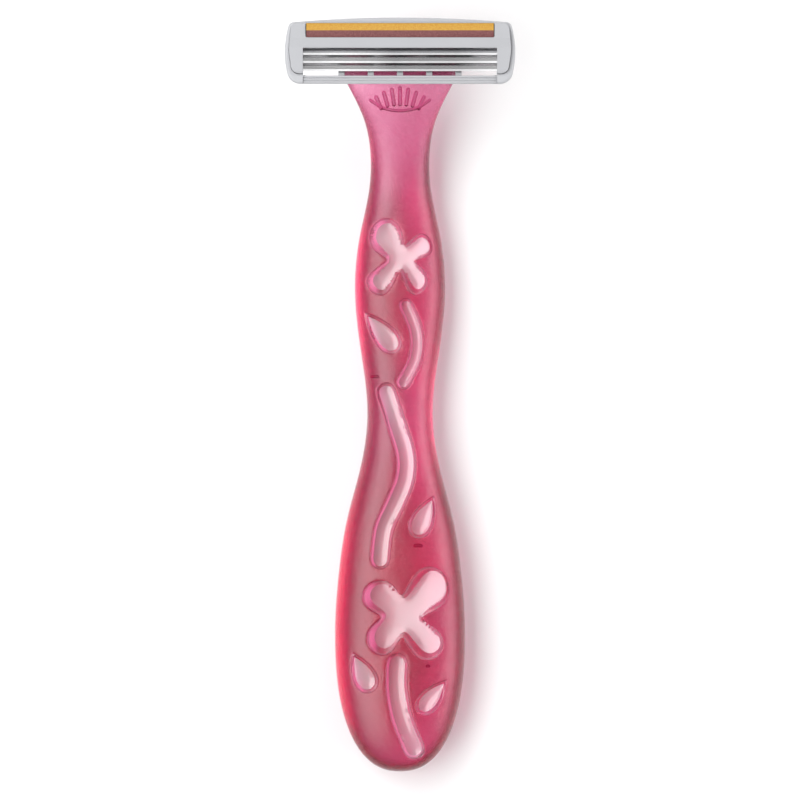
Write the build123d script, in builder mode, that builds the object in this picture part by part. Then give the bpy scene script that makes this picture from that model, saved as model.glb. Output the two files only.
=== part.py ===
from build123d import *
from math import cos, sin, pi, radians, degrees, hypot
import os

# Women's pivoting-head razor, three sprung blades, one-piece moulded handle.
# Row frame, millimetres: X runs along the blades, +Y runs up the handle to the head,
# +Z is the shaving side.  The razor lies on its back, so Z = 0 is the lowest point of the foot.
os.makedirs("parts", exist_ok=True)

# ------------------------------------------------------------------ driving sizes
PIVOT_Y, PIVOT_Z = 61.67, 14.9      # head pivot axis, parallel to X
REST_TILT = 8.0                     # head tilt at rest, degrees
SLOT_Y = 59.2                       # floor of the slot between the two fork arms
ARM_IN, ARM_OUT = 5.5, 11.0         # each fork arm, measured from the middle plane
KNUCKLE_R = 1.8                     # round ends of the fork arms
PIN_R, PIN_END = 1.05, 13.1         # pivot pins, moulded on the arms
BORE_R = 1.11                       # bores in the head lugs, 0.06 running clearance

BACK, FLOOR, SEAT = 2.2, 3.0, 4.2   # head levels above the pivot axis
LEG_FOOT = 3.7                      # bottom of the blade support legs
RIM, SHAVE = 5.7, 6.0               # frame rim, blade edges
COVER_TOP, NOSE_TOP = 6.8, 6.4      # cover at the strip, cover at the nose
WINDOW_X = 17.56                    # half width of the blade window
END_X = 18.95                       # half width of the blade end slots
NOSE_Y = 0.37                       # front edge of the cover bar
GUARD_Y = -4.55                     # back face of the guard bar

BLADE_TILT = 22.0                   # blade angle to the shaving plane
EDGES = (-0.87, -2.36, -3.85)       # cutting edges, blade 1 is nearest the strip
BLADE_W = (1.35, 1.76, 1.76)         # the two lower blades reach under the one above
BLADE_T, BEVEL = 0.10, 0.38
BLADE_X, SUPPORT_X = 18.4, 18.5     # half lengths

# ------------------------------------------------------------------ handle
# station: Y, half width, half thickness, middle height, superellipse power
STATIONS = (
    (-43.5, 11.86, 6.20, 6.20, 2.3), (-31.6, 11.10, 6.10, 6.15, 2.3),
    (-22.9, 9.75, 5.70, 6.00, 2.3), (-14.2, 7.50, 5.10, 6.00, 2.3),
    (-3.4, 5.97, 4.70, 5.90, 2.3), (8.0, 7.15, 4.90, 5.30, 2.3),
    (19.5, 8.24, 5.00, 5.00, 2.3), (29.2, 7.33, 4.60, 5.00, 2.3),
    (37.9, 5.60, 3.80, 6.00, 2.3), (44.4, 5.43, 3.20, 8.20, 2.3),
    (50.0, 6.50, 2.70, 10.70, 2.5), (54.5, 8.50, 2.20, 12.90, 3.0),
    (58.4, 10.35, 1.85, 14.30, 3.8), (PIVOT_Y, ARM_OUT, 1.80, PIVOT_Z, 4.5),
)
FOOT_Y, FOOT_LENGTH = STATIONS[0][0], 25.0


def section_points(half_width, half_thick, power):
    """Superellipse round the handle at one station, 24 points."""
    points = []
    for i in range(24):
        c, s = cos(2 * pi * i / 24), sin(2 * pi * i / 24)
        points.append((half_width * abs(c) ** (2 / power) * (1 if c >= 0 else -1),
                       half_thick * abs(s) ** (2 / power) * (1 if s >= 0 else -1)))
    return points


def foot_stations():
    """The rounded foot: the widest station shrinks along a superellipse to a point."""
    rows = []
    for angle in (86, 78, 68, 55, 40, 20):
        k = cos(radians(angle)) ** (2 / 2.35)
        rows.append((FOOT_Y - FOOT_LENGTH * sin(radians(angle)) ** (2 / 2.35),
                     11.86 * k, 6.2 * k, 6.2, 2.3))
    return rows


# Decoration pockets in the front face.  Each one is an outline that narrows towards its floor:
# "down" runs from 0 at the handle surface to 1 at the pocket floor.
def flower(cx, cy, core, lobes, tabs, walls, shift, down):
    """Four round lobes with blunt tabs between them; the walls slope in and the floor may be shifted."""
    edge = []
    for i in range(96):
        t = 2 * pi * i / 96
        c, s = cos(t), sin(t)
        r = core
        for x, y, rx, ry in lobes:
            rx, ry = rx - walls[0] * down, ry - walls[0] * down
            a = (c / rx) ** 2 + (s / ry) ** 2
            b = -x * c / rx ** 2 - y * s / ry ** 2
            k = b * b - a * ((x / rx) ** 2 + (y / ry) ** 2 - 1)
            if k > 0:
                r = max(r, (-b + k ** 0.5) / a)
        for angle, reach, half in tabs:
            d, width = reach + half, half + walls[1] * down
            away = t - radians(angle)
            across = d * sin(away)
            if cos(away) > 0 and abs(across) < width:
                r = min(r, d * cos(away) - (width * width - across * across) ** 0.5)
        edge.append(r)
    points = []
    for i in range(96):
        t = 2 * pi * i / 96
        r = (edge[i - 1] + 2 * edge[i] + edge[(i + 1) % 96]) / 4
        points.append((cx + shift[0] * down + r * cos(t), cy + shift[1] * down + r * sin(t)))
    return points


def leaf(tip, centre, radius, slope, down):
    """Drop outline: pointed at the tip, round about the centre."""
    inset = slope * down
    length = hypot(centre[0] - tip[0], centre[1] - tip[1])
    ux, uy = (centre[0] - tip[0]) / length, (centre[1] - tip[1]) / length
    start, end, wide = 1.6 * inset, length + radius - inset, radius - inset
    points = []
    for i in range(20):
        t = 2 * pi * i / 20
        along = start + (end - start) * (1 - cos(t)) / 2
        across = 1.3 * wide * sin(t) * abs(sin(t / 2))
        points.append((tip[0] + ux * along - uy * across, tip[1] + uy * along + ux * across))
    return points


def stem(centres, half_width, slope, down):
    """Curved band along a centre line, with round ends."""
    def at(k):
        i = min(int(k), len(centres) - 2)
        p = [centres[max(i - 1, 0)], centres[i], centres[i + 1], centres[min(i + 2, len(centres) - 1)]]
        f = k - i
        return [0.5 * (2 * p[1][a] + (p[2][a] - p[0][a]) * f
                       + (2 * p[0][a] - 5 * p[1][a] + 4 * p[2][a] - p[3][a]) * f * f
                       + (3 * p[1][a] - p[0][a] - 3 * p[2][a] + p[3][a]) * f ** 3) for a in (0, 1)]

    last, w = len(centres) - 1, half_width - slope * down
    count = 3 * last
    left, right = [], []
    for i in range(count + 1):
        k = last * i / count
        (x0, y0), (x1, y1) = at(max(k - 0.05, 0)), at(min(k + 0.05, last))
        n = hypot(x1 - x0, y1 - y0)
        nx, ny = -(y1 - y0) / n, (x1 - x0) / n
        x, y = at(k)
        left.append((x + nx * w, y + ny * w))
        right.append((x - nx * w, y - ny * w))
        if i in (0, count):
            way = -1 if i == 0 else 1
            cap = [(x + w * (nx * cos(a) + way * ny * sin(a)), y + w * (ny * cos(a) - way * nx * sin(a)))
                   for a in (pi / 4, pi / 2, 3 * pi / 4)]
            if i == 0:
                start_cap = cap
            else:
                end_cap = cap
    return left + end_cap + right[::-1] + start_cap[::-1]


UPPER_FLOWER = (0.0, 24.8, 2.0, ((-2.5, 4.0, 2.85, 3.4), (3.3, 2.1, 2.45, 2.45), (-3.3, -3.6, 2.7, 3.0),
                                (2.1, -3.8, 2.5, 2.8)),
                ((72, 2.3, 0.6), (193, 2.7, 0.55), (0, 1.9, 0.55), (268, 1.8, 0.7)), (1.3, 0.35), (0.1, 0.0))
LOWER_FLOWER = (0.3, -40.0, 3.3, ((-3.8, 3.3, 3.2, 3.0), (4.9, 4.8, 3.6, 4.2), (-3.3, -4.1, 2.9, 3.1),
                                 (4.4, -4.9, 3.05, 3.1)),
                ((90, 3.3, 0.75), (180, 3.65, 0.6), (270, 3.65, 0.9), (0, 3.75, 0.6)), (1.5, 0.5), (0.3, 0.8))
UPPER_STEM = ((1.1, 16.4), (2.5, 13.3), (3.2, 10.0), (2.7, 6.4), (0.7, 2.4))
LONG_STEM = ((-2.5, 0.6), (-0.5, -5.3), (1.1, -10.8), (0.9, -15.3), (-0.9, -19.8),
             (-2.9, -24.3), (-3.6, -29.8))
FOOT_STEM = ((-0.5, -48.8), (-0.6, -53.3), (0.4, -58.7), (2.6, -64.2))
# outline function, its arguments, height of the surface there, depth
POCKETS = (
    (flower, UPPER_FLOWER, 9.8, 2.9), (flower, LOWER_FLOWER, 12.2, 4.4),
    (leaf, ((-6.4, 15.1), (-1.8, 9.7), 2.2, 0.6), 9.9, 2.5),
    (leaf, ((6.2, -18.2), (3.6, -23.8), 2.2, 0.6), 11.2, 2.6),
    (leaf, ((-8.6, -46.8), (-6.1, -51.9), 2.2, 0.6), 11.4, 2.7),
    (leaf, ((8.5, -51.7), (4.7, -56.2), 2.0, 0.6), 11.0, 2.4),
    (stem, (UPPER_STEM, 1.3, 0.45), 10.0, 2.4), (stem, (LONG_STEM, 1.75, 0.5), 10.9, 2.6),
    (stem, (FOOT_STEM, 1.95, 0.55), 11.4, 2.8),
)

with BuildPart() as handle_body:
    for y, half_width, half_thick, middle, power in foot_stations() + list(STATIONS):
        with BuildSketch(Plane(origin=(0, y, middle), x_dir=(1, 0, 0), z_dir=(0, -1, 0))):
            with BuildLine():
                Spline(*section_points(half_width, half_thick, power), periodic=True)
            make_face()
    foot_tip = Vertex(0, FOOT_Y - FOOT_LENGTH, 6.2)
    loft(sections=[foot_tip] + list(handle_body.pending_faces), clean=False)
    handle_body.pending_faces.clear()
    for outline, arguments, surface, depth in POCKETS:
        above = 0.4 if outline is flower else 1.6
        for height, down in ((surface + above, -above / depth), (surface - depth, 1.0)):
            with BuildSketch(Plane.XY.offset(height)):
                with BuildLine():
                    Spline(*outline(*arguments, down), periodic=True)
                make_face()
        loft(ruled=True, mode=Mode.SUBTRACT)
    # fork slot, knuckles and pivot pins
    with BuildSketch(Plane.XY.offset(8.0)):
        with Locations((0, SLOT_Y + 5.0)):
            Rectangle(2 * ARM_IN, 10.0)
    extrude(amount=12.0, mode=Mode.SUBTRACT)
    for side in (-1, 1):
        for start, end, radius in ((ARM_IN, ARM_OUT + 0.05, KNUCKLE_R), (ARM_OUT, PIN_END, PIN_R)):
            with BuildSketch(Plane(origin=(side * start, PIVOT_Y, PIVOT_Z), x_dir=(0, 1, 0),
                                   z_dir=(side, 0, 0))):
                Circle(radius)
            extrude(amount=end - start)
    # shallow fan of grooves on the neck, below the head
    neck = Plane(origin=(0, 54.3, 15.0), x_dir=(1, 0, 0), z_dir=(0, -sin(radians(18)), cos(radians(18))))
    for i in range(-3, 4):
        with BuildSketch(neck.offset(0.5)):
            with Locations(Location((1.3 * i, -0.13 * i * i), -8.0 * i)):
                SlotOverall(3.4 - 0.25 * abs(i), 0.45, rotation=90)
        extrude(amount=-0.8, mode=Mode.SUBTRACT)
handle_body.part.label = "handle_body"
export_step(handle_body.part, "parts/handle_body.step")

# ------------------------------------------------------------------ head frame of reference
HEAD = Plane(origin=(0, PIVOT_Y, PIVOT_Z), x_dir=(1, 0, 0),
             z_dir=(0, sin(radians(REST_TILT)), cos(radians(REST_TILT))))


def side_view(x):
    """Plane across the head at x, for outlines drawn as (y, z) of the head."""
    return Plane(origin=HEAD.from_local_coords((x, 0, 0)), x_dir=HEAD.y_dir, z_dir=(1, 0, 0))


# return tongue: a flexible leaf from the slot floor to the cam pad under the head
with BuildPart() as return_tongue:
    with BuildSketch(Plane.YZ) as tongue_side:
        with BuildLine():
            Polyline((SLOT_Y, 12.9), (62.3, 13.4), (65.2, 14.3), (65.0, 15.1), (62.0, 14.25),
                     (60.0, 14.2), (SLOT_Y, 14.8), close=True)
        make_face()
        fillet(tongue_side.vertices().group_by(Axis.X)[-2:], 0.3)
        fillet(tongue_side.vertices().sort_by_distance((60.0, 14.2))[0], 0.6)
    extrude(amount=3.4, both=True)
return_tongue.part.label = "return_tongue"
export_step(return_tongue.part, "parts/return_tongue.step")

# ------------------------------------------------------------------ head frame
LEGS = [edge + 1.145 for edge in EDGES]         # where each blade support stands
RIBS = (-10.6, -5.3, 0.0, 5.3, 10.6)            # bars across the open back
PEGS = ((-15.5, 3.4), (-6.0, 3.4), (6.0, 3.4), (15.5, 3.4))


def span(*limits):
    """Centre and size of an interval."""
    return (limits[0] + limits[1]) / 2, abs(limits[1] - limits[0])


with BuildPart() as head_frame:
    for level, inset in ((RIM, 0.0), (BACK, 0.95)):
        low, high = (20.0 - inset, -6.22 + inset), (20.15 - inset, 5.35 - inset)
        with BuildSketch(HEAD.offset(level)) as outline:
            with BuildLine():
                Line((-low[0], low[1]), low)
                ThreePointArc(low, (21.0 - inset, 0.3), high)
                ThreePointArc(high, (0, 6.24 - inset), (-high[0], high[1]))
                ThreePointArc((-high[0], high[1]), (-21.0 + inset, 0.3), (-low[0], low[1]))
            make_face()
            fillet(outline.vertices().group_by(Axis.Y)[0], 2.4)
            fillet(outline.vertices().group_by(Axis.Y)[-1], 1.0)
    loft()
    rim = head_frame.faces().filter_by(Axis((0, 0, 0), HEAD.z_dir)).sort_by(Axis.Z)[-1]
    fillet(rim.outer_wire().edges(), 0.45)
    # seat for the cover
    with BuildSketch(HEAD.offset(SEAT)) as seat:
        with BuildLine():
            Polyline((-19.6, -4.35), (19.6, -4.35), (20.2, 0.0), (19.75, 5.1), (-19.75, 5.1),
                     (-20.2, 0.0), close=True)
        make_face()
        fillet(seat.vertices().group_by(Axis.Y)[0], 1.5)
        fillet(seat.vertices().group_by(Axis.Y)[-1], 1.5)
        fillet(seat.vertices().filter_by(lambda v: abs(v.X) > 20.1), 6.0)
    extrude(amount=4.0, mode=Mode.SUBTRACT)
    # blade well, with narrower slots for the blade ends
    for half, low_y in ((WINDOW_X, GUARD_Y), (END_X, EDGES[2] - 0.2)):
        middle, size = span(low_y, 1.3)
        with BuildSketch(HEAD.offset(FLOOR)):
            with Locations((0, middle)):
                Rectangle(2 * half, size)
        extrude(amount=5.0, mode=Mode.SUBTRACT)
    # open back between the ribs
    openings = [(-WINDOW_X, RIBS[0] - 0.55)] + [(a + 0.55, b - 0.55) for a, b in zip(RIBS, RIBS[1:])]
    openings.append((RIBS[-1] + 0.55, WINDOW_X))
    middle, size = span(GUARD_Y, 0.9)
    with BuildSketch(HEAD.offset(BACK - 1.0)):
        for opening in openings:
            x, width = span(*opening)
            with Locations((x, middle)):
                Rectangle(width, size)
    extrude(amount=2.5, mode=Mode.SUBTRACT)
    # guard bar: lowered between the corner blocks, with three fine fins
    middle, size = span(GUARD_Y - 3.0, GUARD_Y)
    with BuildSketch(HEAD.offset(5.3)):
        with Locations((0, middle)):
            RectangleRounded(2 * WINDOW_X, size, 0.4)
    extrude(amount=3.0, mode=Mode.SUBTRACT)
    for fin in (-4.75, -5.24, -5.76):
        with BuildSketch(side_view(0)):
            with Locations((fin, 5.3)):
                Circle(0.19)
        extrude(amount=WINDOW_X - 0.05, both=True)
    # posts that carry the guard bar, standing on the ribs
    middle, size = span(GUARD_Y - 0.1, EDGES[2] - 0.1)
    with BuildSketch(HEAD.offset(FLOOR - 0.4)):
        for rib in RIBS:
            with Locations((rib, middle)):
                Rectangle(1.1, size)
    extrude(amount=5.1 - FLOOR + 0.4)
    # guides for the blade supports on the end walls
    for upper, lower in ((1.3, LEGS[0] + 0.21), (LEGS[0] - 0.21, LEGS[1] + 0.21),
                         (LEGS[1] - 0.21, LEGS[2] + 0.21), (LEGS[2] - 0.21, EDGES[2] - 0.2)):
        middle, size = span(lower, upper)
        with BuildSketch(HEAD.offset(3.8)):
            for side in (-1, 1):
                with Locations((side * (END_X - 0.45), middle)):
                    Rectangle(1.0, size)
        extrude(amount=SEAT - 3.8)
    # lugs with the pivot bores
    for side in (-1, 1):
        with BuildSketch(side_view(side * 11.35)):
            Circle(2.0)
            with Locations((0, 1.4)):
                Rectangle(4.0, 2.8)
        extrude(amount=side * 2.0)
        with BuildSketch(side_view(side * 11.0)):
            Circle(BORE_R)
        extrude(amount=side * 3.0, mode=Mode.SUBTRACT)
    # rest stops towards the guard, cam pad towards the strip
    for x, width, limits, low_z in ((-6.0, 2.0, (-4.57, -5.2), 0.3), (6.0, 2.0, (-4.57, -5.2), 0.3),
                                    (0.0, 5.0, (2.4, 3.8), 1.0)):
        middle, size = span(*limits)
        with BuildSketch(HEAD.offset(low_z)):
            with Locations((x, middle)):
                RectangleRounded(width, size, 0.25)
        extrude(amount=BACK + 0.3 - low_z)
    # holes for the cover pegs
    with BuildSketch(HEAD.offset(BACK - 0.5)):
        with Locations(*PEGS):
            Circle(0.66)
    extrude(amount=3.0, mode=Mode.SUBTRACT)
head_frame.part.label = "head_frame"
export_step(head_frame.part, "parts/head_frame.step")

# ------------------------------------------------------------------ cover and strips
CHANNEL = (2.2, 4.88)               # strip channel in the cover
STRIP_SPLIT = 3.47                  # joint between the two strips
with BuildPart() as head_cover:
    with BuildSketch(HEAD.offset(SEAT)) as cover_plan:
        with BuildLine():
            Polyline((-19.55, -4.3), (19.55, -4.3), (20.15, 0.0), (19.7, 5.05), (-19.7, 5.05),
                     (-20.15, 0.0), close=True)
        make_face()
        fillet(cover_plan.vertices().group_by(Axis.Y)[0], 1.5)
        fillet(cover_plan.vertices().group_by(Axis.Y)[-1], 1.5)
        fillet(cover_plan.vertices().filter_by(lambda v: abs(v.X) > 20.05), 6.0)
        middle, size = span(NOSE_Y - 8.0, NOSE_Y)
        with Locations((0, middle)):
            Rectangle(2 * WINDOW_X, size, mode=Mode.SUBTRACT)
    extrude(amount=4.0)
    # top of the cover: high along the strip, sloping down to the nose and the side legs
    with BuildSketch(side_view(0)):
        with BuildLine():
            FilletPolyline((-4.9, 3.0), (-4.9, 5.9), (-3.9, 6.36), (0.5, 6.42), (2.1, COVER_TOP),
                           (4.7, COVER_TOP), (5.3, 6.1), (5.3, 3.0), radius=0.3, close=True)
        make_face()
    extrude(amount=25.0, both=True, mode=Mode.INTERSECT)
    # room for the blades under the cover
    for half, top in ((WINDOW_X, 5.8), (END_X, SHAVE + 0.06)):
        middle, size = span(-6.0, 1.35)
        with BuildSketch(HEAD.offset(SEAT - 0.5)):
            with Locations((0, middle)):
                Rectangle(2 * half, size)
        extrude(amount=top - SEAT + 0.5, mode=Mode.SUBTRACT)
    # strip channel
    middle, size = span(*CHANNEL)
    with BuildSketch(HEAD.offset(5.6)):
        with Locations((0, middle)):
            RectangleRounded(2 * 17.1, size, 0.3)
    extrude(amount=3.0, mode=Mode.SUBTRACT)
    # pegs
    with BuildSketch(HEAD.offset(SEAT + 0.1)):
        with Locations(*PEGS):
            Circle(0.6)
    extrude(amount=-1.9)
head_cover.part.label = "head_cover"
export_step(head_cover.part, "parts/head_cover.step")

# two soap strips side by side in the channel, slightly crowned
with BuildPart() as lube_strip_upper:
    with BuildSketch(side_view(0)):
        with BuildLine():
            Polyline((CHANNEL[1] - 0.05, 6.7), (CHANNEL[1] - 0.05, 5.6), (STRIP_SPLIT, 5.6),
                     (STRIP_SPLIT, 6.95))
            ThreePointArc((STRIP_SPLIT, 6.95), (4.25, 6.93), (CHANNEL[1] - 0.05, 6.7))
        make_face()
    extrude(amount=16.95, both=True)
lube_strip_upper.part.label = "lube_strip_upper"
export_step(lube_strip_upper.part, "parts/lube_strip_upper.step")

with BuildPart() as lube_strip_lower:
    with BuildSketch(side_view(0)):
        with BuildLine():
            Polyline((CHANNEL[0] + 0.05, 6.7), (CHANNEL[0] + 0.05, 5.6), (STRIP_SPLIT, 5.6),
                     (STRIP_SPLIT, 6.95))
            ThreePointArc((STRIP_SPLIT, 6.95), (2.8, 6.93), (CHANNEL[0] + 0.05, 6.7))
        make_face()
    extrude(amount=16.95, both=True)
lube_strip_lower.part.label = "lube_strip_lower"
export_step(lube_strip_lower.part, "parts/lube_strip_lower.step")

# ------------------------------------------------------------------ blades, supports, springs
down, out = sin(radians(BLADE_TILT)), cos(radians(BLADE_TILT))


def on_blade(edge, back, above):
    """Point in the side view: distance back from the cutting edge, height over the blade."""
    return (edge + back * out + above * down, SHAVE - back * down + above * out)


for number, (edge, leg) in enumerate(zip(EDGES, LEGS), start=1):
    with BuildPart() as blade:
        with BuildSketch(side_view(0)):
            with BuildLine():
                Polyline(on_blade(edge, 0, 0), on_blade(edge, BEVEL, BLADE_T / 2),
                         on_blade(edge, BLADE_W[number - 1], BLADE_T / 2),
                         on_blade(edge, BLADE_W[number - 1], -BLADE_T / 2),
                         on_blade(edge, BEVEL, -BLADE_T / 2), close=True)
            make_face()
        extrude(amount=BLADE_X, both=True)
    blade.part.label = f"blade_{number}"
    export_step(blade.part, f"parts/blade_{number}.step")

    # bent sheet support: platform under the blade, leg down to the springs
    with BuildPart() as support:
        with BuildSketch(side_view(0)):
            with BuildLine():
                FilletPolyline(on_blade(edge, 0.6, -0.16), on_blade(edge, 1.3, -0.16), (leg, LEG_FOOT),
                               radius=0.2)
            trace(line_width=0.22)
        extrude(amount=SUPPORT_X, both=True)
    support.part.label = f"blade_support_{number}"
    export_step(support.part, f"parts/blade_support_{number}.step")

    # one sprung finger under each end of the support, rooted on the end wall
    along = Plane(origin=HEAD.from_local_coords((0, leg, 0)), x_dir=(1, 0, 0), z_dir=-HEAD.y_dir)
    for side, name in ((-1, "left"), (1, "right")):
        with BuildPart() as spring:
            with BuildSketch(along):
                with BuildLine():
                    Polyline((side * END_X, FLOOR), (side * END_X, 3.52), (side * 18.0, 3.54),
                             (side * 14.6, 3.68), (side * 14.6, 3.32), (side * 17.9, 3.14),
                             (side * 18.1, FLOOR), close=True)
                make_face()
            extrude(amount=0.25, both=True)
        spring.part.label = f"blade_spring_{number}_{name}"
        export_step(spring.part, f"parts/blade_spring_{number}_{name}.step")
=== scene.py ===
import math

import bmesh
import bpy
import numpy as np
from mathutils import Matrix, Vector
from mathutils.geometry import delaunay_2d_cdt


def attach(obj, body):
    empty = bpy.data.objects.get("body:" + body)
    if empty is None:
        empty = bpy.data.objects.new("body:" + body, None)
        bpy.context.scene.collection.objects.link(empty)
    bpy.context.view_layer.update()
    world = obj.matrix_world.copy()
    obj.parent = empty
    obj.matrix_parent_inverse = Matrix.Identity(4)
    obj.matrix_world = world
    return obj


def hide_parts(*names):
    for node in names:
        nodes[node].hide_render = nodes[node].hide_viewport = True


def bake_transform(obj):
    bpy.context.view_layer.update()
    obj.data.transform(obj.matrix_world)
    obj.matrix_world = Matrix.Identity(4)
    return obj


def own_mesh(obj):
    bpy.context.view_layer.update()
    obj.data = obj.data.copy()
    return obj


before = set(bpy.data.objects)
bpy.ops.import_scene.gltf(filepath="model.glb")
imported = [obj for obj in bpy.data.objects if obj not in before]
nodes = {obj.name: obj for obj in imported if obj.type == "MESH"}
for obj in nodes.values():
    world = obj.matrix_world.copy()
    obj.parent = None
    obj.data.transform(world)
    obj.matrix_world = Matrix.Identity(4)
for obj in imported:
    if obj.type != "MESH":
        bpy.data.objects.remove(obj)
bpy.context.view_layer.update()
scene = bpy.context.scene


# ---------------------------------------------------------------- materials
def material(name, **sockets):
    """A Principled material, with its node tree and shader; sockets are its plain values."""
    mat = bpy.data.materials.new(name)
    mat.use_nodes = True
    bsdf = mat.node_tree.nodes["Principled BSDF"]
    for key, value in sockets.items():
        bsdf.inputs[key.replace("_", " ")].default_value = value
    return mat, mat.node_tree, bsdf


def rgb(r, g, b):
    return (r, g, b, 1.0)


def wire(tree, source, target):
    """Links an output to an input; both are (node, socket) pairs."""
    tree.links.new(source[0].outputs[source[1]], target[0].inputs[target[1]])


def add(tree, kind, **settings):
    """Adds a shader node; settings are its properties, or its inputs when the name starts with in_."""
    node = tree.nodes.new("ShaderNode" + kind)
    for key, value in settings.items():
        if key.startswith("in_"):
            node.inputs[key[3:].replace("_", " ")].default_value = value
        else:
            setattr(node, key, value)
    return node


def blend(tree, factor, low, high, kind="FLOAT"):
    """A Mix node from low to high, each a plain value or a (node, socket) pair, as factor is."""
    node = add(tree, "Mix", data_type=kind)
    wire(tree, factor, (node, 0))
    first, second, result = {"FLOAT": (2, 3, 0), "RGBA": (6, 7, 2)}[kind]
    for socket, value in ((first, low), (second, high)):
        if isinstance(value, tuple) and isinstance(value[0], bpy.types.Node):
            wire(tree, value, (node, socket))
        else:
            node.inputs[socket].default_value = value
    return node, result


def ramp(tree, value, low, high, kind="LINEAR"):
    """0 where the value is low or less, 1 where it is high or more."""
    node = add(tree, "MapRange", interpolation_type=kind, in_From_Min=low, in_From_Max=high)
    wire(tree, value, (node, "Value"))
    return node, 0


def reckon(tree, operation, first, second, **settings):
    """A Math node of two inputs."""
    node = add(tree, "Math", operation=operation, **settings)
    wire(tree, first, (node, 0))
    wire(tree, second, (node, 1))
    return node, 0


def grain(tree, scale, detail=3.0, stretch=(1, 1, 1)):
    """Noise in object coordinates; scale is in features per metre."""
    place = add(tree, "TexCoord")
    fit = add(tree, "Mapping", in_Scale=stretch)
    node = add(tree, "TexNoise", in_Scale=scale, in_Detail=detail)
    wire(tree, (place, "Object"), (fit, "Vector"))
    wire(tree, (fit, 0), (node, "Vector"))
    return node, "Fac"


def bump(tree, bsdf, height, strength, distance):
    """Bumps the shader's normal with a height; distance is in metres."""
    node = add(tree, "Bump", in_Strength=strength, in_Distance=distance)
    wire(tree, height, (node, "Height"))
    wire(tree, (node, 0), (bsdf, "Normal"))
    return node


# what the handle's mesh says at each point: 1 in the pockets; on their floors, which are frosted paler and
# partly a painted highlight; just inside their rims, a line of painted shade; in the shallow marks, painted
# shade
POINT_VALUES = ("polished", "frosted_floor_and_highlight", "painted_rim_shade", "cut")


def handle_plastic(name):
    """Translucent pink: satin outside, polished in the pockets, whose floors are frosted paler, partly a
    painted highlight.

    Painted shade darkens it at a slant, inside the rims and in the marks; a painted shadow darkens it beside
    the head.
    """
    mat, tree, bsdf = material(name, IOR=1.49, Specular_IOR_Level=1.0, Coat_Weight=0.3, Coat_Roughness=0.22,
                               Coat_IOR=1.5)
    carried = [add(tree, "Attribute", attribute_type="GEOMETRY", attribute_name=key) for key in POINT_VALUES]
    polished, frosted_floor_and_highlight, painted_rim_shade, cut = [(node, "Fac") for node in carried]
    satin = grain(tree, 3000.0, 2.0)

    rough = blend(tree, satin, 0.10, 0.20)
    rough = blend(tree, polished, rough, 0.03)
    rough = blend(tree, frosted_floor_and_highlight, rough, 0.13)
    wire(tree, rough, (bsdf, "Roughness"))

    # painted shade: darker where the surface is seen at a slant, outside the pockets
    facing = add(tree, "LayerWeight", in_Blend=0.5), "Facing"
    painted_slant_shade = ramp(tree, facing, 0.04, 0.42, "SMOOTHSTEP")
    painted_slant_shade = reckon(tree, "SUBTRACT", painted_slant_shade, polished, use_clamp=True)
    # painted shadow of the head: darker towards the end of the handle that lies beside it
    place, apart = add(tree, "TexCoord"), add(tree, "SeparateXYZ")
    wire(tree, (place, "Object"), (apart, 0))
    painted_head_shadow = ramp(tree, (apart, "Y"), 0.0560, 0.0590, "SMOOTHSTEP")
    colour = blend(tree, ramp(tree, satin, 0.36, 0.62), rgb(0.90, 0.42, 0.57), rgb(1.0, 0.62, 0.75), "RGBA")
    # pale floors partly painted highlight; painted shade at rims, marks and slants; painted shadow by the
    # head
    for share, tint in ((polished, rgb(0.97, 0.76, 0.83)), (frosted_floor_and_highlight, rgb(1.0, 0.92, 0.95)),
                        (painted_rim_shade, rgb(0.42, 0.05, 0.15)), (cut, rgb(0.50, 0.14, 0.26)),
                        (painted_slant_shade, rgb(0.60, 0.07, 0.21)), (painted_head_shadow, rgb(0.24, 0.07, 0.12))):
        colour = blend(tree, share, colour, tint, "RGBA")
    wire(tree, colour, (bsdf, "Base Color"))

    clear = blend(tree, polished, 0.96, 1.0)
    clear = blend(tree, frosted_floor_and_highlight, clear, 0.64)
    clear = blend(tree, painted_rim_shade, clear, 0.45)
    wire(tree, clear, (bsdf, "Transmission Weight"))

    skin = reckon(tree, "MULTIPLY", satin, blend(tree, polished, 1.0, 0.0))
    rough_skin = bump(tree, bsdf, skin, 1.0, 0.00010)
    wire(tree, (rough_skin, 0), (bsdf, "Coat Normal"))
    absorb = add(tree, "VolumeAbsorption", in_Color=rgb(0.95, 0.13, 0.58), in_Density=165.0)
    wire(tree, (absorb, 0), (tree.nodes["Material Output"], "Volume"))
    return mat


def moulded_plastic(name, colour, roughness, radius):
    """Satin moulded plastic: fine spark-eroded grain, faint clouding, softened edges."""
    mat, tree, bsdf = material(name, IOR=1.49)
    fine, cloud = grain(tree, 3200.0, 2.0), grain(tree, 140.0, 2.0)
    wire(tree, blend(tree, cloud, rgb(*[c * 0.95 for c in colour]), rgb(*[c * 1.05 for c in colour]), "RGBA"),
         (bsdf, "Base Color"))
    wire(tree, blend(tree, fine, roughness - 0.06, roughness + 0.06), (bsdf, "Roughness"))
    skin = bump(tree, bsdf, fine, 0.35, 0.00003)
    wire(tree, (add(tree, "Bevel", samples=3, in_Radius=radius), 0), (skin, "Normal"))
    return mat


def strip_gel(name, low, high):
    """Lubricating strip: coarse granules of wax in two tones."""
    mat, tree, bsdf = material(name, IOR=1.45)
    speck, patch = grain(tree, 4200.0, 2.0), grain(tree, 900.0, 3.0)
    mid = [(p + q) / 2 for p, q in zip(low, high)]
    fleck = blend(tree, ramp(tree, speck, 0.38, 0.66), rgb(*low), rgb(*high), "RGBA")
    wire(tree, blend(tree, patch, fleck, rgb(*mid), "RGBA"), (bsdf, "Base Color"))
    wire(tree, blend(tree, speck, 0.45, 0.7), (bsdf, "Roughness"))
    bump(tree, bsdf, speck, 0.6, 0.00005)
    return mat


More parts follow.
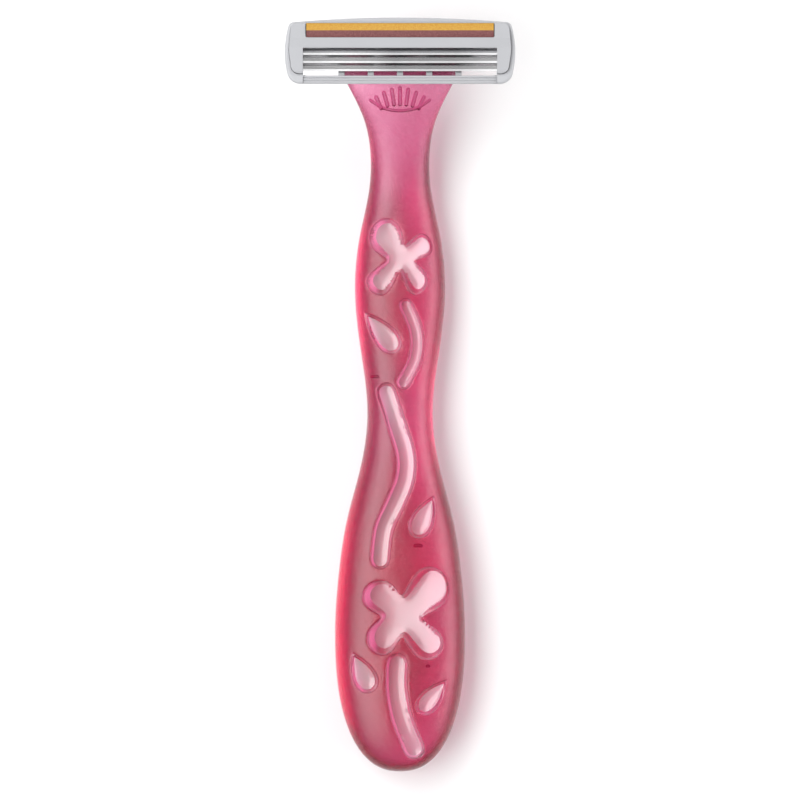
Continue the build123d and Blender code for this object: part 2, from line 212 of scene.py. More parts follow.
def ground_steel(name, dark, light, roughness):
    """Stainless strip ground along its length, with broad cloudy painted reflections in its colour."""
    mat, tree, bsdf = material(name, Metallic=1.0)
    lines, cloud = grain(tree, 900.0, 4.0, (0.02, 12.0, 12.0)), grain(tree, 90.0, 1.0, (1.0, 0.05, 0.05))
    # painted reflection: the colour swings from dark to light in broad clouds
    painted_reflection = blend(tree, ramp(tree, cloud, 0.3, 0.7), rgb(*dark), rgb(*light), "RGBA")
    wire(tree, painted_reflection, (bsdf, "Base Color"))
    wire(tree, blend(tree, lines, roughness - 0.08, roughness + 0.08), (bsdf, "Roughness"))
    bump(tree, bsdf, lines, 0.3, 0.00001)
    return mat


handle_mat = handle_plastic("pink_translucent")
white_mat = moulded_plastic("white_plastic", (0.47, 0.475, 0.495), 0.36, 0.00012)
cover_mat = moulded_plastic("cover_plastic", (0.435, 0.44, 0.46), 0.32, 0.00012)
yellow_mat = strip_gel("strip_yellow", (0.47, 0.21, 0.02), (0.60, 0.37, 0.06))
mauve_mat = strip_gel("strip_mauve", (0.11, 0.03, 0.032), (0.25, 0.09, 0.088))
steel_mat = ground_steel("blade_steel", (0.50, 0.50, 0.51), (0.88, 0.88, 0.89), 0.24)
support_mat = ground_steel("support_steel", (0.34, 0.34, 0.35), (0.52, 0.52, 0.53), 0.34)


def paint(node, mat):
    """Gives a CAD node its material."""
    materials = nodes[node].data.materials
    materials.clear()
    materials.append(mat)


paint("head_frame", white_mat)
paint("head_cover", cover_mat)
paint("lube_strip_upper", yellow_mat)
paint("lube_strip_lower", mauve_mat)
for number in (1, 2, 3):
    paint(f"blade_{number}", steel_mat)
    paint(f"blade_support_{number}", support_mat)

# ---------------------------------------------------------------- handle shape, in millimetres
FOOT_Y, FOOT_LENGTH, FOOT_POWER = -43.5, 25.0, 2.35
PIVOT_Y, PIVOT_Z = 61.67, 14.9
SLOT_Y, ARM_IN, ARM_OUT, KNUCKLE_R, PIN_R, PIN_END = 59.2, 5.5, 11.0, 1.8, 1.05, 13.1
# the fork slot runs past the handle's end, back and front
SLOT_LOW, SLOT_HIGH = (-ARM_IN, SLOT_Y, 5), (ARM_IN, 70, 25)
# station: Y, half width, half thickness, middle height, superellipse power
STATIONS = np.array((
    (FOOT_Y, 11.86, 6.20, 6.20, 2.3),
    (-31.6, 11.10, 6.10, 6.15, 2.3),
    (-22.9, 9.75, 5.70, 6.00, 2.3),
    (-14.2, 7.50, 5.10, 6.00, 2.3),
    (-3.4, 5.97, 4.70, 5.90, 2.3),
    (8.0, 7.15, 4.90, 5.30, 2.3),
    (19.5, 8.24, 5.00, 5.00, 2.3),
    (29.2, 7.33, 4.60, 5.00, 2.3),
    (37.9, 5.60, 3.80, 6.00, 2.3),
    (44.4, 5.43, 3.20, 8.20, 2.3),
    (50.0, 6.50, 2.70, 10.70, 2.5),
    (54.5, 8.50, 2.20, 12.90, 3.0),
    (58.4, 10.35, 1.85, 14.30, 3.8),
    (PIVOT_Y, ARM_OUT, 1.80, PIVOT_Z, 4.5)))


def spline_curvatures(x, y):
    """Second derivatives of a cubic through the stations: level at the foot, free at the head."""
    n, h = len(x), np.diff(x)
    a, b = np.zeros((n, n)), np.zeros((n, y.shape[1]))
    a[0, :2] = 2 * h[0], h[0]
    b[0] = 6 * (y[1] - y[0]) / h[0]
    a[-1, -1] = 1
    for i in range(1, n - 1):
        a[i, i - 1:i + 2] = h[i - 1], 2 * (h[i - 1] + h[i]), h[i]
        b[i] = 6 * ((y[i + 1] - y[i]) / h[i] - (y[i] - y[i - 1]) / h[i - 1])
    return np.linalg.solve(a, b)


BENDS = spline_curvatures(STATIONS[:, 0], STATIONS[:, 1:])


def section(y):
    """Half width, half thickness, middle height and power of the handle at each y."""
    y = np.asarray(y, float)
    x, v = STATIONS[:, 0], STATIONS[:, 1:]
    yc = np.clip(y, FOOT_Y, x[-1])
    i = np.clip(np.searchsorted(x, yc, side="right") - 1, 0, len(x) - 2)
    h = (x[i + 1] - x[i])[..., None]
    a = (x[i + 1] - yc)[..., None] / h
    b = 1 - a
    out = a * v[i] + b * v[i + 1] + ((a ** 3 - a) * BENDS[i] + (b ** 3 - b) * BENDS[i + 1]) * h * h / 6
    foot = np.clip((FOOT_Y - y) / FOOT_LENGTH, 0, 1)
    k = (1 - foot ** FOOT_POWER) ** (1 / FOOT_POWER)
    return out[..., 0] * k, out[..., 1] * k, out[..., 2], out[..., 3]


def around(t, y):
    """X and Z of the surface at angle t round the section at y: 0 at its right, pi / 2 at the front."""
    w, h, middle, power = section(y)
    c, s = np.cos(t), np.sin(t)
    x = w * np.sign(c) * np.abs(c) ** (2 / power)
    return x, middle + h * np.sign(s) * np.abs(s) ** (2 / power)


def front_height(x, y):
    """Z of the front of the handle, before the pockets are cut."""
    w, h, middle, power = section(y)
    return middle + h * np.clip(1 - np.abs(x / w) ** power, 0, 1) ** (1 / power)


# ---------------------------------------------------------------- outlines of the pockets
# each outline is a list of points; down is 0 for the outline at the rim and 1 for the outline of the floor
FLOWER_POINTS, FLOWER_SMOOTHING = 96, 5
LEAF_POINTS, LEAF_FULLNESS, LEAF_TIP_INSET = 20, 1.3, 1.6
STEM_STEPS = 3


def catmull_rom(a, b, c, d, f):
    """The point a share f of the way from b to c, on the smooth curve through all four."""
    return 0.5 * (2 * b + (c - a) * f + (2 * a - 5 * b + 4 * c - d) * f * f
                  + (3 * b - a - 3 * c + d) * f ** 3)


def past_lobe(t, x, y, rx, ry):
    """How far from the centre of the flower a ray at angle t leaves an oval lobe, 0 where it misses it."""
    c, s = math.cos(t), math.sin(t)
    a = (c / rx) ** 2 + (s / ry) ** 2
    b = -x * c / rx ** 2 - y * s / ry ** 2
    k = b * b - a * ((x / rx) ** 2 + (y / ry) ** 2 - 1)
    return (-b + k ** 0.5) / a if k > 0 else 0.0


def before_tab(t, angle, distance, radius):
    """How far such a ray goes before it enters the round end of a tab, infinite where it misses it."""
    away = t - math.radians(angle)
    across = distance * math.sin(away)
    if math.cos(away) <= 0 or abs(across) >= radius:
        return math.inf
    return distance * math.cos(away) - (radius * radius - across * across) ** 0.5


def flower(cx, cy, core, lobes, tabs, walls, shift, down):
    """Four oval lobes with blunt tabs between them; the walls slope in and the floor may be shifted."""
    lobe_inset, tab_growth = walls[0] * down, walls[1] * down
    points = []
    for i in range(FLOWER_POINTS):
        t = 2 * math.pi * i / FLOWER_POINTS
        r = max([core] + [past_lobe(t, x, y, rx - lobe_inset, ry - lobe_inset) for x, y, rx, ry in lobes])
        r = min([r] + [before_tab(t, angle, reach + half, half + tab_growth) for angle, reach, half in tabs])
        points.append((cx + shift[0] * down + r * math.cos(t), cy + shift[1] * down + r * math.sin(t)))
    points = np.array(points)
    for _ in range(FLOWER_SMOOTHING):
        points = (np.roll(points, 1, 0) + 2 * points + np.roll(points, -1, 0)) / 4
    return points


def leaf(tip, centre, radius, slope, down):
    """Drop outline: pointed at the tip, round about the centre."""
    inset = slope * down
    length = math.hypot(centre[0] - tip[0], centre[1] - tip[1])
    ux, uy = (centre[0] - tip[0]) / length, (centre[1] - tip[1]) / length
    start, end, wide = LEAF_TIP_INSET * inset, length + radius - inset, radius - inset
    points = []
    for i in range(LEAF_POINTS):
        t = 2 * math.pi * i / LEAF_POINTS
        along = start + (end - start) * (1 - math.cos(t)) / 2
        across = LEAF_FULLNESS * wide * math.sin(t) * abs(math.sin(t / 2))
        points.append((tip[0] + ux * along - uy * across, tip[1] + uy * along + ux * across))
    return points


def stem(centres, half_width, slope, down):
    """Curved band along a centre line, with round ends."""
    centres = np.array(centres)
    last, w = len(centres) - 1, half_width - slope * down

    def at(k):
        i = min(int(k), last - 1)
        before, after = centres[max(i - 1, 0)], centres[min(i + 2, last)]
        return catmull_rom(before, centres[i], centres[i + 1], after, k - i)

    def stop(k):
        """A point of the centre line, with the unit vectors ahead and to the left."""
        ahead = at(min(k + 0.05, last)) - at(max(k - 0.05, 0))
        ahead = ahead / math.hypot(*ahead)
        return at(k), ahead, np.array((-ahead[1], ahead[0]))

    count = STEM_STEPS * last
    stops = [stop(last * i / count) for i in range(count + 1)]
    left = [p + side * w for p, _, side in stops]
    right = [p - side * w for p, _, side in stops]
    caps = []
    for way, (p, ahead, side) in ((-1, stops[0]), (1, stops[-1])):
        caps.append([p + w * (side * math.cos(a) + way * ahead * math.sin(a))
                     for a in (math.pi / 4, math.pi / 2, 3 * math.pi / 4)])
    return left + caps[1] + right[::-1] + caps[0][::-1]


# a flower: centre X and Y, radius of its core, lobes (X, Y and two radii), tabs (angle, how near the centre
# they reach, half width), how far the walls take in the lobes and widen the tabs, shift of the floor
UPPER_FLOWER = (
    0.0, 24.8, 2.3,
    ((-2.5, 4.0, 3.15, 3.5), (3.3, 2.1, 2.7, 2.85), (-3.3, -3.6, 3.0, 3.1), (2.3, -3.7, 2.85, 3.0)),
    ((72, 2.4, 0.5), (193, 2.8, 0.45), (352, 2.3, 0.45), (268, 2.0, 0.55)),
    (0.85, 0.25), (0.35, 0.1))
LOWER_FLOWER = (
    0.3, -40.0, 3.6,
    ((-3.8, 3.3, 3.4, 3.2), (4.9, 4.7, 3.9, 4.4), (-3.3, -4.1, 3.1, 3.3), (4.4, -4.9, 3.4, 3.4)),
    ((90, 3.4, 0.65), (180, 3.75, 0.5), (270, 3.75, 0.75), (0, 3.9, 0.5)),
    (0.92, 0.55), (0.42, 0.22))
UPPER_STEM = ((1.1, 16.4), (2.5, 13.3), (3.2, 10.0), (2.7, 6.4), (0.7, 2.4))
LONG_STEM = ((-2.5, 0.6), (-0.5, -5.3), (1.1, -10.8), (0.9, -15.3), (-0.9, -19.8), (-2.9, -24.3),
             (-3.6, -29.8))
FOOT_STEM = ((-0.5, -48.8), (-0.6, -53.3), (0.4, -58.7), (2.6, -64.2))
# outline function, its arguments, depth, rounding of the rim, glossy, mesh points for each outline point
POCKETS = [
    (flower, UPPER_FLOWER, 2.9, 0.30, True, 2),
    (flower, LOWER_FLOWER, 4.4, 0.35, True, 3),
    (leaf, ((-6.4, 15.1), (-1.8, 9.7), 2.2, 0.6), 2.5, 0.30, True, 4),
    (leaf, ((6.2, -18.2), (3.6, -23.8), 2.2, 0.6), 2.6, 0.30, True, 4),
    (leaf, ((-8.6, -46.8), (-6.1, -51.9), 2.2, 0.6), 2.7, 0.30, True, 4),
    (leaf, ((8.5, -51.7), (4.7, -56.2), 2.0, 0.6), 2.4, 0.30, True, 4),
    (stem, (UPPER_STEM, 1.3, 0.45), 2.4, 0.30, True, 4),
    (stem, (LONG_STEM, 1.75, 0.5), 2.6, 0.30, True, 5),
    (stem, (FOOT_STEM, 1.95, 0.55), 2.8, 0.30, True, 5),
]
# three small marks left by the mould: centre, half length, half width
for x, y, half, wide in ((-4.6, 3.4, 0.6, 0.25), (3.3, -27.3, 0.55, 0.33), (5.1, -49.2, 0.2, 0.25)):
    POCKETS.append((stem, (((x - half, y), (x, y + 0.06), (x + half, y)), wide, 0.12), 0.9, 0.08, False, 2))
# the fan of seven shallow grooves on the neck, with an arc below it
FAN_Y, FAN_PITCH, FAN_SAG, FAN_LEAN = 54.3, 1.3, 0.13, math.radians(8.0)
for i in range(-3, 4):
    lean, half = -FAN_LEAN * i, 1.45 - 0.12 * abs(i)
    x, y = FAN_PITCH * i, FAN_Y - FAN_SAG * i * i
    line = [(x - k * half * math.sin(lean), y + k * half * math.cos(lean)) for k in (-1, 0, 1)]
    POCKETS.append((stem, (line, 0.36, 0.20), 0.6, 0.10, False, 2))
FAN_ARC = ((-5.4, 53.6), (-3.0, 52.2), (0.0, 51.7), (3.0, 52.2), (5.4, 53.6))
POCKETS.append((stem, (FAN_ARC, 0.26, 0.14), 0.5, 0.08, False, 3))


# ---------------------------------------------------------------- handle mesh
ROW_PITCH, FOOT_ROWS, FRONT_COLUMNS, BACK_COLUMNS = 0.5, 34, 65, 49
# rings of mesh points round a pocket: outside its rim in shares of the rounding, then down the wall
RIM_RINGS = (0.95, 0.6, 0.3)
WALL_RINGS, SHALLOW_RINGS = (0, 0.06, 0.2, 0.35, 0.5, 0.65, 0.8, 0.93, 1.0), (0, 0.5, 1.0)
# floors: depth and reach of the hollow in a flower and in a leaf or stem, slope and curl of a flower's floor
# towards its right, share of the depth at a leaf's tip
FLOWER_HOLLOW, OTHER_HOLLOW = (0.12, 1.2), (0.34, 1.3)
FLOWER_RISE, FLOWER_CURL, FLOWER_CURL_START = 0.08, 0.005, -3
LEAF_TIP_DEPTH = 0.62


def closed_curve(points, count):
    """A closed smooth curve through the points of an outline: count points for each."""
    p = np.array(points)
    a, b, c, d = np.roll(p, 1, 0), p, np.roll(p, -1, 0), np.roll(p, -2, 0)
    return np.stack([catmull_rom(a, b, c, d, k / count) for k in range(count)], 1).reshape(-1, 2)


def edge_distance(points, outline):
    """Distance of each point to a closed outline, and whether it lies inside."""
    a, b = outline, np.roll(outline, -1, 0)
    ab = b - a
    best = np.full(len(points), np.inf)
    inside = np.zeros(len(points), bool)
    for start in range(0, len(points), 4000):
        batch = slice(start, start + 4000)
        p = points[batch, None, :]
        t = np.clip(((p - a) * ab).sum(2) / (ab * ab).sum(1), 0, 1)
        best[batch] = np.sqrt(((p - a - t[..., None] * ab) ** 2).sum(2).min(1))
        level = (a[:, 1] > p[..., 1]) != (b[:, 1] > p[..., 1])
        rise = np.where(ab[:, 1] == 0, 1e-12, ab[:, 1])
        crosses = level & (p[..., 0] < a[:, 0] + ab[:, 0] * (p[..., 1] - a[:, 1]) / rise)
        inside[batch] = crosses.sum(1) % 2 == 1
    return best, inside


def fairing(t):
    """Wall profile from rim to floor: straight in the middle, eased at both ends."""
    return 0.85 * t + 0.15 * t * t * (3 - 2 * t)


class Pocket:
    """A pocket in the front of the handle: a rim outline, a floor outline and the wall between them."""

    def __init__(self, kind, arguments, depth, rim, glossy, count):
        self.kind, self.arguments, self.depth, self.rim, self.glossy = kind, arguments, depth, rim, glossy
        self.top = closed_curve(kind(*arguments, 0.0), count)
        self.floor = closed_curve(kind(*arguments, 1.0), count)
        self.low, self.high = self.top.min(0) - rim - 0.1, self.top.max(0) + rim + 0.1

    def near(self, points, margin=0.0):
        """Which points lie in the box about the rim, widened by a margin."""
        return ((points > self.low - margin) & (points < self.high + margin)).all(1)

    def rings(self):
        """Points that follow the rim, the wall and the edge of the floor."""
        after = np.roll(self.top, -1, 0)
        ahead = after - np.roll(self.top, 1, 0)
        out = np.stack((ahead[:, 1], -ahead[:, 0]), 1) / np.linalg.norm(ahead, axis=1)[:, None]
        if (self.top[:, 0] * after[:, 1] - self.top[:, 1] * after[:, 0]).sum() < 0:
            out = -out
        rings = [self.top + out * self.rim * k for k in RIM_RINGS]
        steps = WALL_RINGS if self.glossy else SHALLOW_RINGS
        rings += [self.top + (self.floor - self.top) * k for k in steps]
        return np.concatenate(rings)

    def crowded(self, points):
        """Which points lie where the rings are, and so would crowd them."""
        to_rim, inside = edge_distance(points, self.top)
        to_floor, on_floor = edge_distance(points, self.floor)
        return (to_rim < self.rim + 0.15) | (inside & ~on_floor) | (on_floor & (to_floor < 0.2))

    def floor_height(self, p, surface):
        """Height of the floor at a point: below the middle of the front, or below the surface in a mark."""
        if not self.glossy:
            return surface - self.depth
        if self.kind is flower:
            along = p[:, 0] - self.arguments[0]
            curl = np.clip(along - FLOWER_CURL_START, 0, None)
            level = float(front_height(0.0, self.arguments[1])) - self.depth
            return level + FLOWER_RISE * along + FLOWER_CURL * curl ** 2
        depth = self.depth
        if self.kind is leaf:
            tip, centre = np.array(self.arguments[0]), np.array(self.arguments[1])
            axis = centre - tip
            along = ((p - tip) @ axis) / (axis @ axis)
            depth = self.depth * (LEAF_TIP_DEPTH + (1 - LEAF_TIP_DEPTH) * np.clip(along, 0, 1.2))
        return front_height(0.0, p[:, 1]) - depth

    def shape(self, points, height):
        """New heights of the points, and how far each lies down the wall (0 outside, 1 on the floor)."""
        new, down = height.copy(), np.zeros(len(points))
        near = np.where(self.near(points))[0]
        p, surface = points[near], height[near]
        to_rim, inside = edge_distance(p, self.top)
        to_floor, on_floor = edge_distance(p, self.floor)
        t = np.where(on_floor, 1.0, to_rim / np.maximum(to_rim + to_floor, 1e-9))
        floor = self.floor_height(p, surface)
        if self.glossy:
            hollow, reach = FLOWER_HOLLOW if self.kind is flower else OTHER_HOLLOW
            u = np.clip(to_floor / reach, 0, 1)
            floor = floor - np.where(on_floor, hollow * u * (2 - u), 0)
        soft = 0.5 * self.rim
        z = surface - np.where(inside, soft, soft * np.clip(1 - to_rim / self.rim, 0, 1) ** 2)
        new[near] = np.where(inside, z + (floor - z) * fairing(t), z)
        down[near] = np.where(inside, np.maximum(t, 1e-3), 0)
        return new, down


def unroll(t, y):
    """How far from the middle a point of the front comes to lie when the front is laid out flat."""
    return section(y)[0] * (math.pi / 2 - t) * 0.9


def front_points(rows, pockets):
    """Angle and plan of the front's points: a grid, thinned out where the pockets' rings take its place.

    The third result is the number of each grid point, by row, -1 where it is left out.
    """
    t, y = np.meshgrid(np.linspace(0, math.pi, FRONT_COLUMNS), rows)
    edge = np.zeros(t.shape, bool)
    edge[:, 0] = edge[:, -1] = edge[-1] = edge[0] = True
    shape, t, y = t.shape, t.ravel(), y.ravel()
    plan = np.stack((around(t, y)[0], y), 1)
    keep = np.ones(len(plan), bool)
    for pocket in pockets:
        near = np.where(pocket.near(plan, 0.5) & ~edge.ravel())[0]
        keep[near[pocket.crowded(plan[near])]] = False
    ring = np.concatenate([pocket.rings() for pocket in pockets])
    w, _, _, power = section(ring[:, 1])
    ring_t = np.arccos(np.clip(np.sign(ring[:, 0]) * np.abs(ring[:, 0] / w) ** (power / 2), -1, 1))
    number = np.full(len(plan), -1)
    number[keep] = np.arange(keep.sum())
    return np.concatenate((t[keep], ring_t)), np.concatenate((plan[keep], ring)), number.reshape(shape)


def front_faces(angle, xy, number):
    """Triangles between the front's points, and the point that each of their corners is."""
    border = list(number[0]) + list(number[1:, -1]) + list(number[-1, -2::-1]) + list(number[-2:0:-1, 0])
    border = [int(i) for i in border]
    fence = list(zip(border, border[1:] + border[:1]))
    flat = np.stack((unroll(angle, xy[:, 1]), xy[:, 1]), 1)
    corners, _, faces, origin, _, _ = delaunay_2d_cdt([Vector(p) for p in flat], fence, [], 0, 1e-5, True)
    assert all(origin), "an outline crosses itself"
    # the triangles also fill the hollows of the outline: drop those beyond its edge
    laid = np.array([tuple(v) for v in corners])
    centre = laid[np.array([tuple(f) for f in faces])].mean(1)
    within = np.abs(centre[:, 0]) < unroll(0.0, centre[:, 1])
    return [tuple(f) for f, ok in zip(faces, within) if ok], np.array([o[0] for o in origin])


def build_handle():
    """Points, faces and point values of the handle: a front with pockets, a plain back and two caps."""
    pockets = [Pocket(*row) for row in POCKETS]
    # rows of points along the handle, closer together round the foot
    foot = FOOT_Y - FOOT_LENGTH * np.sin(np.radians(np.linspace(88.5, 2.5, FOOT_ROWS))) ** (2 / FOOT_POWER)
    rows = np.concatenate((foot, np.arange(FOOT_Y, PIVOT_Y - 0.2, ROW_PITCH), [PIVOT_Y]))
    angle, xy, number = front_points(rows, pockets)
    faces, source = front_faces(angle, xy, number)
    angle, xy = angle[source], xy[source]
    index = {int(s): i for i, s in enumerate(source)}
    x, z = around(angle, xy[:, 1])
    gloss, cut = np.zeros(len(xy)), np.zeros(len(xy))
    for pocket in pockets:
        z, down = pocket.shape(xy, z)
        if pocket.glossy:
            gloss = np.maximum(gloss, down)
        else:
            cut = np.maximum(cut, down)
    points = [tuple(p) for p in np.stack((x, xy[:, 1], z), 1)]
    # back half, joined to the front along its two edges
    columns = [[index[int(i)] for i in number[:, -1]]]
    for t in np.linspace(math.pi, 2 * math.pi, BACK_COLUMNS)[1:-1]:
        x, z = around(t, rows)
        columns.append(list(range(len(points), len(points) + len(rows))))
        points += zip(x, rows, z)
    columns.append([index[int(i)] for i in number[:, 0]])
    for a, b in zip(columns, columns[1:]):
        faces += [(a[k], a[k + 1], b[k + 1], b[k]) for k in range(len(rows) - 1)]
    # caps at the head and at the foot
    faces.append(tuple([index[int(i)] for i in number[-1]] + [c[-1] for c in columns[1:-1]]))
    faces.append(tuple(([index[int(i)] for i in number[0]] + [c[0] for c in columns[1:-1]])[::-1]))
    # the point values, by how far down a wall the point lies; the material paints shade and highlight from
    # them
    values = (np.clip(gloss * 12, 0, 1), np.clip((gloss - 0.93) / 0.07, 0, 1),
              np.interp(gloss, (0, 0.06, 0.2, 0.35), (0, 1, 0.5, 0)), np.clip(cut * 4, 0, 1))
    back = np.zeros(len(points) - len(xy))
    return points, faces, {key: np.concatenate((value, back)) for key, value in zip(POINT_VALUES, values)}


def solid(name, points, faces, values=None):
    """A closed mesh object, in millimetres, with its faces turned outwards.

    Every solid has the point values, 0 unless they are given, so that they outlive a boolean.
    """
    mesh = bpy.data.meshes.new(name)
    mesh.from_pydata(points, [], faces)
    for key in POINT_VALUES:
        value = mesh.attributes.new(key, "FLOAT", "POINT")
        if values:
            value.data.foreach_set("value", values[key])
    bm = bmesh.new()
    bm.from_mesh(mesh)
    bmesh.ops.recalc_face_normals(bm, faces=bm.faces)
    bm.to_mesh(mesh)
    bm.free()
    o = bpy.data.objects.new(name, mesh)
    scene.collection.objects.link(o)
    return o


def box_solid(name, low, high):
    """A box between two corners."""
    points = [(x, y, z) for z in (low[2], high[2]) for y in (low[1], high[1]) for x in (low[0], high[0])]
    faces = [(0, 2, 3, 1), (4, 5, 7, 6), (0, 1, 5, 4), (2, 6, 7, 3), (0, 4, 6, 2), (1, 3, 7, 5)]
    return solid(name, points, faces)


def tube_faces(sections, sides):
    """Faces of a closed tube of sections with that many points each."""
    faces = []
    for k in range(sections - 1):
        a, b = k * sides, (k + 1) * sides
        faces += [(a + i, a + (i + 1) % sides, b + (i + 1) % sides, b + i) for i in range(sides)]
    return faces + [tuple(range(sides)), tuple(range((sections - 1) * sides, sections * sides))]


def turned(name, x_radius, y, z, steps=64):
    """A solid of revolution about an axis along X: (x, radius) pairs from end to end."""
    turns = [2 * math.pi * i / steps for i in range(steps)]
    points = [(x, y + r * math.cos(t), z + r * math.sin(t)) for x, r in x_radius for t in turns]
    return solid(name, points, tube_faces(len(x_radius), steps))


def combine(o, tool, operation):
    """Applies one boolean to o and removes the tool."""
    m = o.modifiers.new("boolean", "BOOLEAN")
    m.operation, m.object, m.solver = operation, tool, "MANIFOLD"
    made = bpy.data.meshes.new_from_object(o.evaluated_get(bpy.context.evaluated_depsgraph_get()))
    o.modifiers.clear()
    o.data = made
    bpy.data.objects.remove(tool)


def finish_mesh(o, mat):
    """Millimetres to metres, smooth shading with sharp edges kept, and the material."""
    mesh = o.data
    mesh.transform(Matrix.Scale(0.001, 4))
    mesh.polygons.foreach_set("use_smooth", [True] * len(mesh.polygons))
    mesh.set_sharp_from_angle(angle=math.radians(50))
    mesh.materials.clear()
    mesh.materials.append(mat)


def strip(name, upper, lower, half, across, along, up, corner):
    """A bending strip: chamfered sections between matching points of its upper and lower lines.

    The points are pairs in the plane of along and up; half is half the width, across.
    """
    across, along, up = np.array(across), np.array(along), np.array(up)
    points = []
    for (a1, u1), (a0, u0) in zip(upper, lower):
        k, n = corner / math.hypot(a1 - a0, u1 - u0), 1 - corner / half
        # share of the half width, and share of the way from the lower to the upper line
        for side, f in ((-1, k), (-1, 1 - k), (-n, 1), (n, 1), (1, 1 - k), (1, k), (n, 0), (-n, 0)):
            a, u = a0 + (a1 - a0) * f, u0 + (u1 - u0) * f
            points.append(tuple(across * side * half + along * a + up * u))
    return solid(name, points, tube_faces(len(upper), 8))


def along_line(knots, count):
    """A number of points spread over a line of knots, as many between any two knots."""
    knots = np.array(knots, float)
    t = np.linspace(0, len(knots) - 1, count)
    return [tuple(np.interp(k, range(len(knots)), knots[:, axis]) for axis in (0, 1)) for k in t]


handle = solid("handle", *build_handle())
combine(handle, box_solid("slot", SLOT_LOW, SLOT_HIGH), "DIFFERENCE")
KNUCKLE = ((ARM_IN, KNUCKLE_R - 0.2), (ARM_IN + 0.2, KNUCKLE_R),
           (ARM_OUT - 0.15, KNUCKLE_R), (ARM_OUT + 0.05, KNUCKLE_R - 0.2))
PIN = ((ARM_OUT - 1, PIN_R), (PIN_END - 0.25, PIN_R), (PIN_END, PIN_R - 0.25))
for side in (-1, 1):
    for name, profile in (("knuckle", KNUCKLE), ("pin", PIN)):
        combine(handle, turned(name, [(side * x, r) for x, r in profile], PIVOT_Y, PIVOT_Z), "UNION")
finish_mesh(handle, handle_mat)
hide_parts("handle_body")
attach(handle, "handle")

# ---------------------------------------------------------------- sprung pieces
# the return tongue: rooted in the handle's fork, its tip stays on the pad under the head
TONGUE_UPPER = ((SLOT_Y, 14.8), (60.0, 14.2), (62.0, 14.25), (63.5, 14.675), (64.85, 15.06), (65.08, 15.0))
TONGUE_LOWER = ((SLOT_Y, 12.9), (60.1, 13.05), (62.2, 13.38), (63.7, 13.85), (64.95, 14.22), (65.16, 14.42))
TONGUE_HALF, TONGUE_CORNER, TONGUE_SECTIONS = 3.4, 0.16, 41
upper, lower = [along_line(line, TONGUE_SECTIONS) for line in (TONGUE_UPPER, TONGUE_LOWER)]
tongue = strip("tongue", upper, lower, TONGUE_HALF, (1, 0, 0), (0, 1, 0), (0, 0, 1), TONGUE_CORNER)
finish_mesh(tongue, handle_mat)
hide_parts("return_tongue")
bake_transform(tongue)

# a finger under each end of each blade support, in the head's own tilted frame about the pivot; leg is where
# the legs of a support stand along that frame's Y
REST_TILT = math.radians(8)
HEAD_Y = (0, math.cos(REST_TILT), -math.sin(REST_TILT))
HEAD_Z = (0, math.sin(REST_TILT), math.cos(REST_TILT))
WELL_FLOOR, SPRING_KEEP = 3.0, 0.4
SPRING_OUTER = ((18.95, WELL_FLOOR), (18.95, 3.3), (18.95, 3.52), (18.0, 3.54), (16.3, 3.61), (14.6, 3.68))
SPRING_INNER = ((18.1, WELL_FLOOR), (18.05, 3.05), (17.9, 3.14), (17.3, 3.173), (16.0, 3.245), (14.6, 3.32))
SPRING_HALF, SPRING_CORNER, SPRING_SECTIONS = 0.25, 0.05, 26
for number, leg in ((1, 0.275), (2, -1.215), (3, -2.705)):
    shift = Vector((0, PIVOT_Y, PIVOT_Z)) + leg * Vector(HEAD_Y)
    for side, name in ((-1, "left"), (1, "right")):
        outer, inner = [along_line([(side * a, b) for a, b in line], SPRING_SECTIONS)
                        for line in (SPRING_OUTER, SPRING_INNER)]
        finger = strip(f"spring_{number}_{name}", outer, inner, SPRING_HALF, HEAD_Y, (1, 0, 0), HEAD_Z,
                       SPRING_CORNER)
        finger.data.transform(Matrix.Translation(shift))
        finish_mesh(finger, white_mat)
        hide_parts(f"blade_spring_{number}_{name}")
        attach(finger, "head")
        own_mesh(finger)

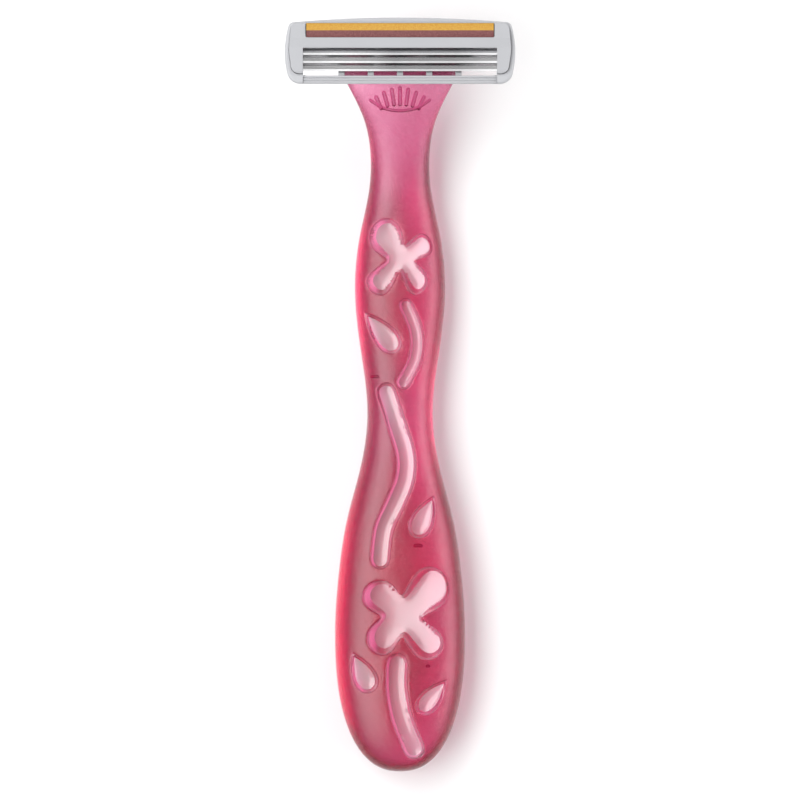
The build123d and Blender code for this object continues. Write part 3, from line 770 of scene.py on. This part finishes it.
# ---------------------------------------------------------------- floor, lights, camera, in metres
FLOOR_HALF, FLOOR_Z = 3.0, -0.0005
floor_mesh = bpy.data.meshes.new("floor")
floor_corners = [(x * FLOOR_HALF, y * FLOOR_HALF, FLOOR_Z) for x, y in ((-1, -1), (1, -1), (1, 1), (-1, 1))]
floor_mesh.from_pydata(floor_corners, [], [(0, 1, 2, 3)])
floor = bpy.data.objects.new("floor", floor_mesh)
scene.collection.objects.link(floor)
floor_mat, _, _ = material("floor", Base_Color=rgb(0.93, 0.93, 0.93), Roughness=0.9)
floor_mesh.materials.append(floor_mat)

world = bpy.data.worlds.new("studio")
scene.world = world
world.use_nodes = True
sky = world.node_tree.nodes["Background"]
sky.inputs["Color"].default_value = rgb(1, 1, 1)
sky.inputs["Strength"].default_value = 0.22


def softbox(name, place, target, width, height, power):
    """A rectangular area light aimed at a point."""
    light = bpy.data.lights.new(name, "AREA")
    light.shape = "RECTANGLE"
    light.size, light.size_y = width, height
    light.energy = power
    o = bpy.data.objects.new(name, light)
    o.location = place
    o.rotation_euler = (Vector(target) - Vector(place)).to_track_quat("-Z", "Y").to_euler()
    scene.collection.objects.link(o)


softbox("softbox_left", (-0.36, 0.13, 0.60), (0, 0.13, 0), 1.3, 0.50, 7.6)
softbox("softbox_right", (0.60, 0.05, 0.30), (0, 0, 0), 0.9, 0.34, 3.0)
softbox("softbox_far", (0.0, 0.66, 0.60), (0, 0.07, 0), 1.0, 0.35, 1.1)

# the camera looks straight down at the razor; VIEW_WIDTH is how much it sees at the height of FOCUS_Z
VIEW_WIDTH, FOCUS_Z, CAMERA_Y, CAMERA_DISTANCE, SENSOR = 0.14482259, 0.02, -0.00081, 2.0, 36.0
camera_data = bpy.data.cameras.new("camera")
camera_data.sensor_width = SENSOR
camera_data.lens = SENSOR * CAMERA_DISTANCE / VIEW_WIDTH
camera_data.clip_end = 20
camera = bpy.data.objects.new("camera", camera_data)
camera.location = (0.0, CAMERA_Y, FOCUS_Z + CAMERA_DISTANCE)
scene.collection.objects.link(camera)
scene.camera = camera
scene.view_settings.view_transform = "Standard"
